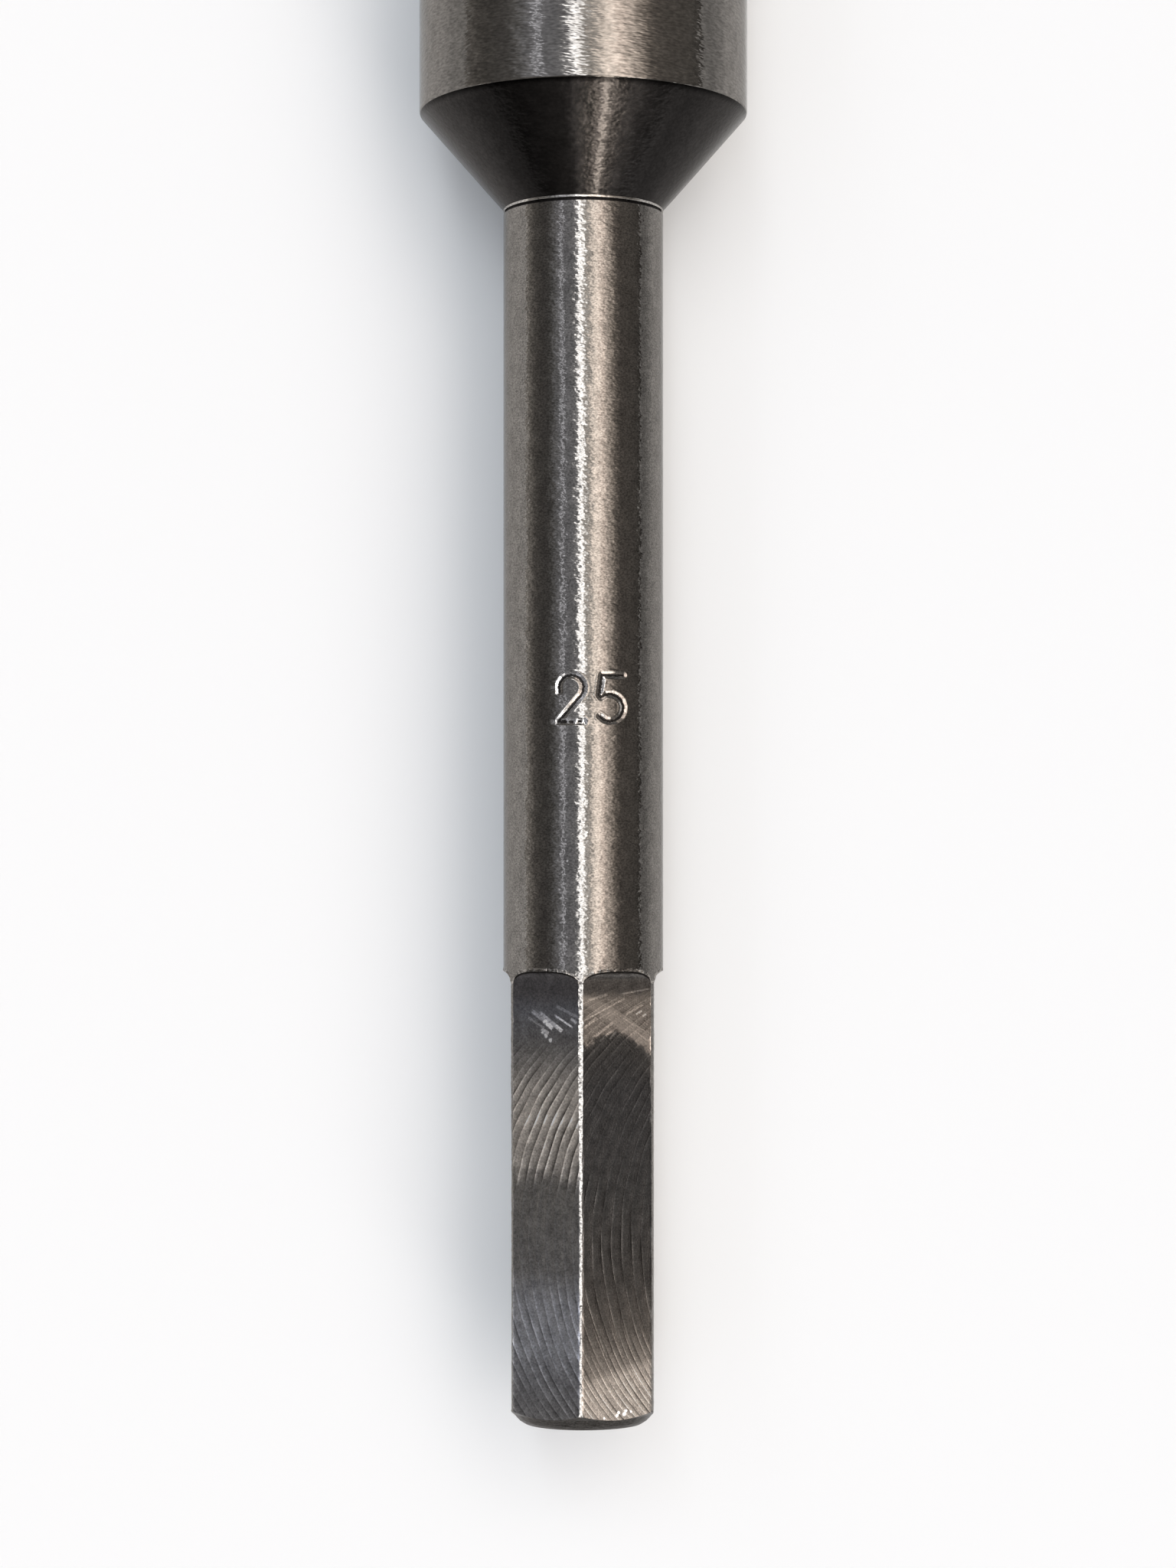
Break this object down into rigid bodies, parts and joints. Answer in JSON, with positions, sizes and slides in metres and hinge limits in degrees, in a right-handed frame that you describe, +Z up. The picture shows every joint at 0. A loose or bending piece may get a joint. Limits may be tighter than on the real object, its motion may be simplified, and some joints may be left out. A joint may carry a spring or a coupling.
{
  "type": "auger drill bit",
  "caption": "Single-flute auger bit for boring wood, with a hexagonal machine shank, plain collar, scoring spur and lead screw.",
  "frame": {"origin": "on the surface the bit lies on, under the middle of its length", "axes": "the bit lies on its side with its axis along Y, shank end towards -Y and lead screw towards +Y, +Z up, one corner of the hexagon facing nearly straight up"},
  "size_m": [0.025, 0.32, 0.025],
  "materials": {
    "tool_steel": "turned and milled, bare and lightly oiled"
  },
  "bodies": {
    "root": {"auger_bit": "tool_steel"}
  },
  "joints": []
}
